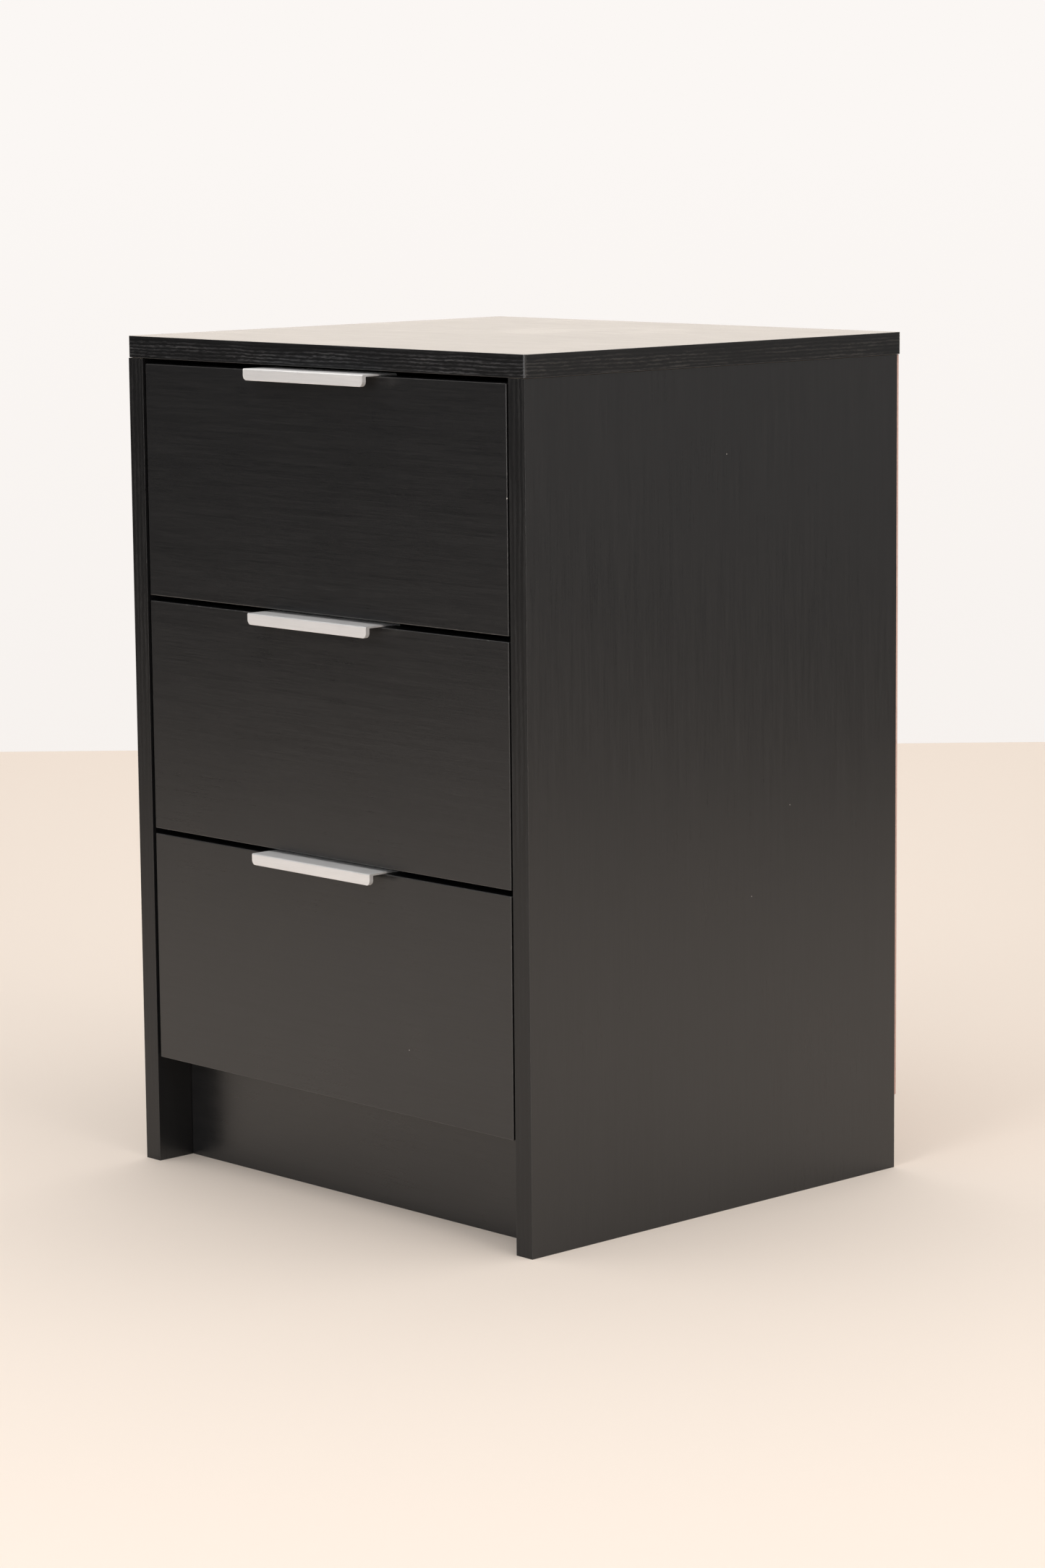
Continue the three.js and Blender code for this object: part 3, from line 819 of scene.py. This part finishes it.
def makeBox(level):
    body, title = f"drawer_{level}", level.title()
    baseNode = f"drawer_base_{level}"
    baseLow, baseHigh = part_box(baseNode)
    grow, radius = boxLook["seat"], boxLook["topRound"]
    for hand, side in hands.items():
        node = f"drawer_side_{level}_{hand}"
        low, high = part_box(node)
        board = prism(roundTopped(low.x, high.x, low.z, high.z, radius), "y", low.y, high.y)
        reach = baseHigh.x + grow
        inner = high.x if side < 0 else low.x
        grooveX = sorted((side * reach, inner - side * cutterClear))
        groove = block(
            (grooveX[0], low.y - cutterClear, baseLow.z - grow),
            (grooveX[1], high.y + cutterClear, baseHigh.z + grow),
        )
        combined(board, [groove], "DIFFERENCE")
        chosen = {"-y": "chipboardCore", "+y": "chipboardCore", "all": "drawerFoil"}
        name = f"drawerSide{title}{hand.title()}"
        finishPiece(board, name, body, [node], chosen, None, boxLook["edge"])
    node = f"drawer_back_{level}"
    low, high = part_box(node)
    board = prism(roundTopped(low.y, high.y, low.z, high.z, radius), "x", low.x, high.x)
    chosen = {"-x": "chipboardCore", "+x": "chipboardCore", "all": "backFoil"}
    name = f"drawerBack{title}"
    finishPiece(board, name, body, [node], chosen, None, boxLook["edge"])
    chosen = {"+z": "printedHardboard", "-z": "rawHardboard", "all": "hardboardEdge"}
    base, name, edge = block(baseLow, baseHigh), f"drawerBase{title}", boxLook["baseEdge"]
    finishPiece(base, name, body, [baseNode], chosen, None, edge)


pullLook = {
    "plate": 0.0012, "lip": 0.0032, "drop": 0.0078, "corner": 0.0035, "crown": 0.0009, "fold": 0.0014,
    "soft": 0.00045, "innerFold": 0.0003, "edge": 0.00015, "boreShare": 0.56,
}
pullScrewLook = {
    "shank": 0.47, "tip": 0.2, "tipLength": 2.2, "slotReach": 0.58, "slotWidth": 0.24, "slotDepth": 0.0011,
    # the head, as shares of its radius and of its height
    "head": [(1, 0), (1, 0.35), (0.86, 0.72), (0.55, 0.94), (0.25, 1), (0, 1)],
}


def screwSizes(level, hand):
    low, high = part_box(f"handle_screw_{level}_{hand}")
    return low, high, ((low.x + high.x) / 2, (low.z + high.z) / 2), (high.z - low.z) / 2


def makePull(level):
    # an extruded lip, the plate over the front's edge and the flange folded down behind it
    node = f"handle_{level}"
    low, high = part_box(node)
    thick, soft, radius = pullLook["plate"], pullLook["soft"], pullLook["corner"]
    foot, lipBack = high.z - pullLook["drop"], low.y + pullLook["lip"]
    under, flangeFront = high.z - thick, high.y - thick
    section = [
        (low.y, foot, soft), (low.y, high.z, pullLook["crown"]), (high.y, high.z, pullLook["fold"]),
        (high.y, low.z, soft), (flangeFront, low.z, soft), (flangeFront, under, pullLook["innerFold"]),
        (lipBack, under, soft), (lipBack, foot, soft),
    ]
    pull = prism(roundedOutline(section), "x", low.x, high.x)
    cuts = []
    for side, endX in ((-1, low.x), (1, high.x)):
        centreX, centreZ, beyond = endX - side * radius, foot + radius, cutterClear
        curve = [
            (centreX + side * radius * math.sin(angle), centreZ - radius * math.cos(angle))
            for angle in [math.pi / 2 * step / 8 for step in range(9)]
        ]
        outX, outZ = endX + side * beyond, foot - beyond
        outside = [(outX, centreZ), (outX, outZ), (centreX, outZ)]
        cuts.append(prism(curve + outside, "y", low.y - beyond, lipBack + thick / 2))
    for hand in hands:
        centre, headRadius = screwSizes(level, hand)[2:]
        hole = circle(centre, headRadius * pullLook["boreShare"], 24)
        cuts.append(prism(hole, "y", flangeFront - thick, high.y + thick))
    combined(pull, cuts, "DIFFERENCE")
    name, body, chosen = f"pull{level.title()}", f"drawer_{level}", {"all": "satinAluminium"}
    edge = pullLook["edge"]
    finishPiece(pull, name, body, [node], chosen, "cutAluminium", edge, 2, "yz")


def makePullScrews(level):
    for hand in hands:
        low, high, centre, radius = screwSizes(level, hand)
        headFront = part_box(f"handle_{level}")[1].y + boxLook["seat"]
        shank, dome = radius * pullScrewLook["shank"], high.y - headFront
        profile = [
            (0, low.y), (shank * pullScrewLook["tip"], low.y),
            (shank, low.y + shank * pullScrewLook["tipLength"]), (shank, headFront),
        ]
        profile += [(radius * out, headFront + dome * rise) for out, rise in pullScrewLook["head"]]
        screw = turned(profile, "y", centre, 32)
        reach, width = radius * pullScrewLook["slotReach"], radius * pullScrewLook["slotWidth"]
        slots = crossSlot("y", centre, high.y, pullScrewLook["slotDepth"], reach, width)
        combined(screw, slots, "DIFFERENCE")
        name, nodes = f"pullScrew{level.title()}{hand.title()}", [f"handle_screw_{level}_{hand}"]
        finishPiece(screw, name, f"drawer_{level}", nodes, {"all": "zincPlate"}, None, 0)


for level in levels:
    makeFront(level)
    makeBox(level)
    makePull(level)
    makePullScrews(level)
print("drawers ready")


# Runners

runnerLook = {
    "steel": 0.0012, "bend": 0.0008, "seat": 0.0003, "headThickness": 0.0012, "headRadius": 0.004,
    "axleRadius": 0.0025, "stopHeight": 0.003, "edge": 0.0001,
    # the rivet's head, as shares of its radius and of its thickness
    "head": [(1, 0), (1, 0.4), (0.72, 0.88), (0.35, 1), (0, 1)],
}
railScrewLook = {
    "places": (0.12, 0.5, 0.86), "radius": 0.0033, "proud": 0.0004, "sunk": 0.0006, "rim": 0.5,
    "crown": 0.9, "slotDepth": 0.0007, "slotReach": 0.6, "slotWidth": 0.22,
}


def rivet(node, root, side, outwards):
    # the axle from its rail's web through the roller, with a domed head
    low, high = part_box(node)
    centre = ((low.y + high.y) / 2, (low.z + high.z) / 2)
    way = side if outwards else -side
    rollerEnd = max(abs(low.x), abs(high.x)) if outwards else min(abs(low.x), abs(high.x))
    headStart = side * rollerEnd + way * runnerLook["seat"]
    head, shank = runnerLook["headRadius"], runnerLook["axleRadius"]
    dome = way * runnerLook["headThickness"]
    profile = [(0, root), (shank, root), (shank, headStart)]
    profile += [(head * out, headStart + dome * rise) for out, rise in runnerLook["head"]]
    return turned(profile, "x", centre, 32)


def makeFixedRail(level, hand, side):
    node = f"fixed_rail_{level}_{hand}"
    low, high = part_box(node)
    thick, bend = runnerLook["steel"], runnerLook["bend"]
    near, far = sorted((abs(low.x), abs(high.x)))
    web = far - thick / 2
    floorZ, roofZ = low.z + thick / 2, high.z - thick / 2
    middle = [(side * near, roofZ), (side * web, roofZ), (side * web, floorZ), (side * near, floorZ)]
    rail = prism(foldedStrip(middle, thick, bend), "y", low.y, high.y)
    # the plate that closes the rear end, let a little way into the sheet
    inset = thick * 0.6
    plate = [
        (side * near, low.z + inset), (side * (far - inset), low.z + inset),
        (side * (far - inset), high.z - inset), (side * near, high.z - inset),
    ]
    # the stop that the sliding rail's roller meets just past the drawer's full travel
    rollerLow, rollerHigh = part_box(f"sliding_roller_{level}_{hand}")
    rollerRadius, rollerY = (rollerHigh.z - rollerLow.z) / 2, (rollerLow.y + rollerHigh.y) / 2
    travel = next(j for j in frame["joints"] if j["name"] == f"drawer_{level}_slide")["range_m"][1]
    fromAxle = rollerRadius + runnerLook["seat"] - runnerLook["stopHeight"]
    halfChord = math.sqrt(rollerRadius ** 2 - fromAxle ** 2)
    stopY = rollerY - travel - halfChord - 2 * runnerLook["seat"] - thick
    stopTop = low.z + thick + runnerLook["stopHeight"]
    lump = [(stopY - 2 * thick, low.z + thick / 2)] + [
        (stopY - thick * math.cos(angle), stopTop - thick + thick * math.sin(angle))
        for angle in [math.pi * step / 8 for step in range(9)]
    ] + [(stopY + thick, low.z + thick / 2)]
    lumpSpan = sorted((side * (near + thick * 0.4), side * web))
    parts = [
        prism(plate, "y", high.y - thick, high.y), prism(lump, "x", *lumpSpan),
        rivet(f"fixed_roller_{level}_{hand}", side * web, side, False),
    ]
    combined(rail, parts, "UNION")
    name, coat = f"fixedRail{level.title()}{hand.title()}", {"all": "creamPowderCoat"}
    finishPiece(rail, name, "cabinet", [node], coat, None, runnerLook["edge"], 1)


def makeRailScrews(level, hand, side):
    # flat screw heads in the fixed rail's web
    low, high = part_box(f"fixed_rail_{level}_{hand}")
    face = side * (max(abs(low.x), abs(high.x)) - runnerLook["steel"])
    radius, proud = railScrewLook["radius"], railScrewLook["proud"]
    root, crown = face + side * railScrewLook["sunk"], face - side * proud
    depth = -side * railScrewLook["slotDepth"]
    reach, width = radius * railScrewLook["slotReach"], radius * railScrewLook["slotWidth"]
    profile = [
        (0, root), (radius, root), (radius, face - side * proud * railScrewLook["rim"]),
        (radius * railScrewLook["crown"], crown), (0, crown),
    ]
    heads = []
    for share in railScrewLook["places"]:
        spot = (low.y + (high.y - low.y) * share, (low.z + high.z) / 2)
        cuts = crossSlot("x", spot, crown, depth, reach, width)
        heads.append(combined(turned(profile, "x", spot, 28), cuts, "DIFFERENCE"))
    name = f"railScrews{level.title()}{hand.title()}"
    finishPiece(joined(heads), name, "cabinet", [], {"all": "zincPlate"}, None, 0)


def makeSlidingRail(level, hand, side):
    node = f"sliding_rail_{level}_{hand}"
    low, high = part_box(node)
    thick, bend = runnerLook["steel"], runnerLook["bend"]
    near, far = sorted((abs(low.x), abs(high.x)))
    boardFace = max(abs(value.x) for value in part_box(f"drawer_side_{level}_{hand}"))
    web = boardFace + runnerLook["seat"] + thick / 2
    flangeZ, footZ = high.z - thick / 2, low.z + thick / 2
    middle = [(side * far, flangeZ), (side * web, flangeZ), (side * web, footZ), (side * near, footZ)]
    rail = prism(foldedStrip(middle, thick, bend), "y", low.y, high.y)
    combined(rail, [rivet(f"sliding_roller_{level}_{hand}", side * web, side, True)], "UNION")
    name, body = f"slidingRail{level.title()}{hand.title()}", f"drawer_{level}"
    coat, edge = {"all": "creamPowderCoat"}, runnerLook["edge"]
    finishPiece(rail, name, body, [node], coat, None, edge, 1)


rollerLook = {"chamfer": 0.0008, "hubRadius": 0.0046, "dish": 0.0005, "boreShare": 0.35}


def makeRoller(kind, level, hand):
    node = f"{kind}_roller_{level}_{hand}"
    low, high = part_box(node)
    centre, radius = ((low.y + high.y) / 2, (low.z + high.z) / 2), (high.z - low.z) / 2
    edge, hub, dish = rollerLook["chamfer"], rollerLook["hubRadius"], rollerLook["dish"]
    bore = rollerLook["boreShare"] * radius
    profile = [
        (bore, low.x), (hub, low.x), (hub + dish, low.x + dish), (radius - 3 * edge, low.x + dish),
        (radius - 2 * edge, low.x), (radius - edge, low.x), (radius, low.x + edge), (radius, high.x - edge),
        (radius - edge, high.x), (radius - 2 * edge, high.x), (radius - 3 * edge, high.x - dish),
        (hub + dish, high.x - dish), (hub, high.x), (bore, high.x),
    ]
    ring = turned(profile, "x", centre, 48)
    title = f"{kind}Roller{level.title()}{hand.title()}"
    finishPiece(ring, title, node, [node], {"all": "nylon"}, None, 0)


for level in levels:
    for hand, side in hands.items():
        makeFixedRail(level, hand, side)
        makeRailScrews(level, hand, side)
        makeSlidingRail(level, hand, side)
        makeRoller("fixed", level, hand)
        makeRoller("sliding", level, hand)
print("runners ready")


# Stage, light and camera

cameraLook = {
    "place": (2.17781, -2.04024, 0.73173), "azimuth": 46.683, "elevation": 8.762, "roll": -0.541,
    "lens": 99.19,
}
azimuth = math.radians(cameraLook["azimuth"])
ahead = Vector((-math.sin(azimuth), math.cos(azimuth), 0))
across = Vector((math.cos(azimuth), math.sin(azimuth), 0))
up = Vector((0, 0, 1))
stageLook = {
    "floorTone": (0.84, 0.74, 0.65), "wallTone": (0.965, 0.93, 0.905), "wallFoot": (0.93, 0.89, 0.86),
    "wallMirrored": (2.06, 1.87, 1.69), "wallFootHeight": 0.7, "wallDistance": 2.05, "halfWidth": 1.95,
    "near": 5.0, "wallHeight": 3.2, "farTone": (0.93, 0.92, 0.91), "farGlow": 0.075, "farSeen": 1.0,
}
# places and aims are metres across, ahead and up as the camera looks
lightLook = {
    "overhead": {
        "place": (0, -0.3, 3.0), "aim": (0, -0.3, 0), "size": (6.0, 6.0), "brightness": 1.1,
        "tone": (1.0, 0.995, 0.99),
    },
    "key": {
        "place": (-2.0, -2.6, 1.1), "aim": (0, 0, 0.3), "size": (1.6, 1.6), "brightness": 4.7,
        "tone": (0.98, 0.98, 1.0),
    },
    "fill": {
        "place": (1.8, -2.0, 1.6), "aim": (0, 0, 0.3), "size": (1.6, 1.6), "brightness": 2.0,
        "tone": (1.0, 0.97, 0.95),
    },
    "rightPanel": {
        "place": (2.6, 0, 1.3), "aim": (1.6, 0, 1.3), "size": (3.0, 2.4), "brightness": 0.26,
        "tone": (1.0, 0.96, 0.93),
    },
}


def stagePlane(name, corners, material):
    mesh = bpy.data.meshes.new(name)
    mesh.from_pydata([tuple(corner) for corner in corners], [], [(0, 1, 2, 3)])
    mesh.materials.append(material)
    plane = bpy.data.objects.new(name, mesh)
    scene.collection.objects.link(plane)


def clearFromBehind(tree, shader):
    # hides a stage plane from its back, so that it never stands in front of the cabinet
    behind = addNode(tree, "ShaderNodeNewGeometry").outputs["Backfacing"]
    plug(tree, maths(tree, "SUBTRACT", 1.0, behind), shader["Alpha"])


def makeStage():
    half, far, near = stageLook["halfWidth"], stageLook["wallDistance"], stageLook["near"]
    floor, tree, shader = startMaterial("paleFloor", Roughness=0.9)
    shader["Base Color"].default_value = (*stageLook["floorTone"], 1)
    shader["Specular IOR Level"].default_value = 0.1
    clearFromBehind(tree, shader)
    corners = [
        across * -half - ahead * near, across * half - ahead * near,
        across * half + ahead * far, across * -half + ahead * far,
    ]
    stagePlane("floor", corners, floor)
    # a pale wall that glows, a little dimmer towards its foot as painted shade, and about twice as bright
    # where a glossy face mirrors it
    wall, tree, shader = startMaterial("paleWall", Roughness=1.0)
    shader["Base Color"].default_value = (0, 0, 0, 1)
    shader["Specular IOR Level"].default_value = 0.0
    where = addNode(tree, "ShaderNodeTexCoord").outputs["Object"]
    rise = addNode(tree, "ShaderNodeSeparateXYZ", {0: where}).outputs[2]
    rise = remap(tree, rise, 0.0, stageLook["wallFootHeight"])
    tone = mixColour(tree, rise, stageLook["wallFoot"], stageLook["wallTone"])
    glossy = addNode(tree, "ShaderNodeLightPath").outputs["Is Glossy Ray"]
    plug(tree, mixColour(tree, glossy, tone, stageLook["wallMirrored"]), shader["Emission Color"])
    shader["Emission Strength"].default_value = 1.0
    clearFromBehind(tree, shader)
    height = up * stageLook["wallHeight"]
    left, right = across * -half + ahead * far, across * half + ahead * far
    stagePlane("wall", [left, right, right + height, left + height], wall)


def roomPoint(steps):
    return across * steps[0] + ahead * steps[1] + up * steps[2]


def softbox(name, look):
    light = bpy.data.lights.new(name, "AREA")
    light.shape = "RECTANGLE"
    light.size, light.size_y = look["size"]
    light.energy = look["brightness"] * 4 * light.size * light.size_y
    light.color = look["tone"]
    lamp = bpy.data.objects.new(name, light)
    lamp.location = roomPoint(look["place"])
    lamp.rotation_mode = "QUATERNION"
    lamp.rotation_quaternion = (roomPoint(look["aim"]) - lamp.location).to_track_quat("-Z", "Y")
    lamp.visible_camera = False
    scene.collection.objects.link(lamp)


def makeLights():
    for name, look in lightLook.items():
        softbox(name, look)
    world = bpy.data.worlds.new("room")
    world.use_nodes = True
    tree = world.node_tree
    background = tree.nodes["Background"].inputs
    background["Color"].default_value = (*stageLook["farTone"], 1)
    # a faint even light that looks pale where the camera sees past the floor
    seen = addNode(tree, "ShaderNodeLightPath").outputs["Is Camera Ray"]
    plug(tree, remap(tree, seen, 0, 1, stageLook["farGlow"], stageLook["farSeen"]), background["Strength"])
    scene.world = world


def makeCamera():
    rise, roll = math.radians(cameraLook["elevation"]), math.radians(cameraLook["roll"])
    forward = ahead * math.cos(rise) - up * math.sin(rise)
    level = forward.cross(up).normalized()
    above = level.cross(forward)
    right = level * math.cos(roll) + above * math.sin(roll)
    data = bpy.data.cameras.new("camera")
    data.lens = cameraLook["lens"]
    data.sensor_width = 36
    camera = bpy.data.objects.new("camera", data)
    turn = Matrix((right, right.cross(forward), -forward)).transposed().to_4x4()
    camera.matrix_world = Matrix.Translation(cameraLook["place"]) @ turn
    scene.collection.objects.link(camera)
    scene.camera = camera


makeStage()
makeLights()
makeCamera()
scene.view_settings.view_transform = "Standard"
print("stage, lights and camera ready")
